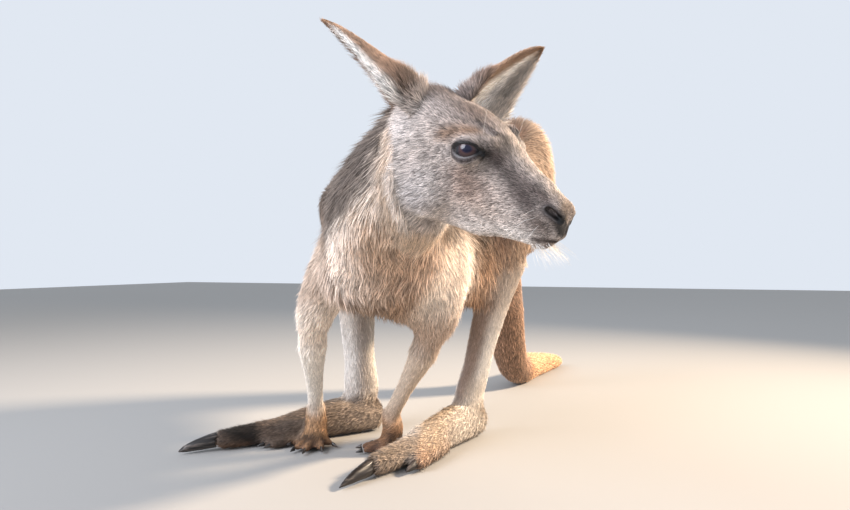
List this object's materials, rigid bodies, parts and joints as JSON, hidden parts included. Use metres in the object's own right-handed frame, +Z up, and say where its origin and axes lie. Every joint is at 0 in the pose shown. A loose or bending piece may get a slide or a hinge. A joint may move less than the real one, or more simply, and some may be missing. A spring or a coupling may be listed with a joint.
{
  "type": "kangaroo",
  "caption": "Life-size still model of a grey kangaroo crouched on its hands, hind feet and tail, with its head turned to its left and its ears spread.",
  "frame": {"origin": "middle of the bounding box's floor, on the ground under the animal", "axes": "+Z up; the body faces -Y with the tail towards +Y; +X is the animal's left, the side its head is turned to"},
  "size_m": [0.568, 1.1662, 0.51],
  "materials": {
    "coat": "short dense fur, pale grey-beige face, tan neck and limbs, dark grey-brown back, rusty paws",
    "claw": "black horn, worn to a dull shine",
    "eye": "wet dark brown eye"
  },
  "bodies": {
    "root": {"chest": "coat", "ear_left": "coat", "ear_right": "coat", "eye_left": "eye", "eye_right": "eye", "foot_left": "coat", "foot_left_claw_2": "claw", "foot_left_claw_3": "claw", "foot_left_claw_4": "claw", "foot_left_claw_5": "claw", "foot_right": "coat", "foot_right_claw_2": "claw", "foot_right_claw_3": "claw", "foot_right_claw_4": "claw", "foot_right_claw_5": "claw", "forearm_left": "coat", "forearm_right": "coat", "hand_left": "coat", "hand_left_claw_1": "claw", "hand_left_claw_2": "claw", "hand_left_claw_3": "claw", "hand_left_claw_4": "claw", "hand_left_claw_5": "claw", "hand_right": "coat", "hand_right_claw_1": "claw", "hand_right_claw_2": "claw", "hand_right_claw_3": "claw", "hand_right_claw_4": "claw", "hand_right_claw_5": "claw", "head": "coat", "neck": "coat", "rump": "coat", "shank_left": "coat", "shank_right": "coat", "tail_1": "coat", "tail_2": "coat", "tail_3": "coat", "tail_4": "coat", "thigh_left": "coat", "thigh_right": "coat", "upper_arm_left": "coat", "upper_arm_right": "coat"}
  },
  "joints": []
}
